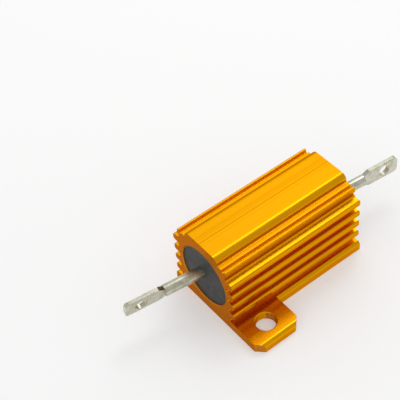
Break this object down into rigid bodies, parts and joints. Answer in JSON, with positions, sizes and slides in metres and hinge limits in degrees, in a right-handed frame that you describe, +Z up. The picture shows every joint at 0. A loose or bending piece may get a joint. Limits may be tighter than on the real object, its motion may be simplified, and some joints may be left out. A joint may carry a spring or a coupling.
{
  "type": "aluminium housed power resistor",
  "caption": "Chassis-mount wirewound power resistor in a finned, gold-anodised aluminium extrusion with diagonal mounting ears and pierced blade terminals.",
  "frame": {"origin": "centre of the mounting face, midway between the two ears", "axes": "+X along the resistor towards the rear terminal, +Z up from the mounting face"},
  "size_m": [0.0542, 0.0272, 0.015],
  "materials": {
    "anodised_aluminium": "gold anodised, satin, with drawn die lines",
    "grey_silicone": "matte dark grey moulded silicone",
    "steatite": "unglazed white steatite",
    "resistance_alloy": "bright drawn nickel-chromium wire",
    "plated_steel": "nickel plated",
    "tinned_copper_steel": "satin tin plating"
  },
  "bodies": {
    "root": {"housing": "anodised_aluminium", "moulding": "grey_silicone", "ceramic_core": "steatite", "resistance_wire": "resistance_alloy", "end_cap_front": "plated_steel", "end_cap_rear": "plated_steel", "terminal_front": "tinned_copper_steel", "terminal_rear": "tinned_copper_steel"}
  },
  "joints": []
}
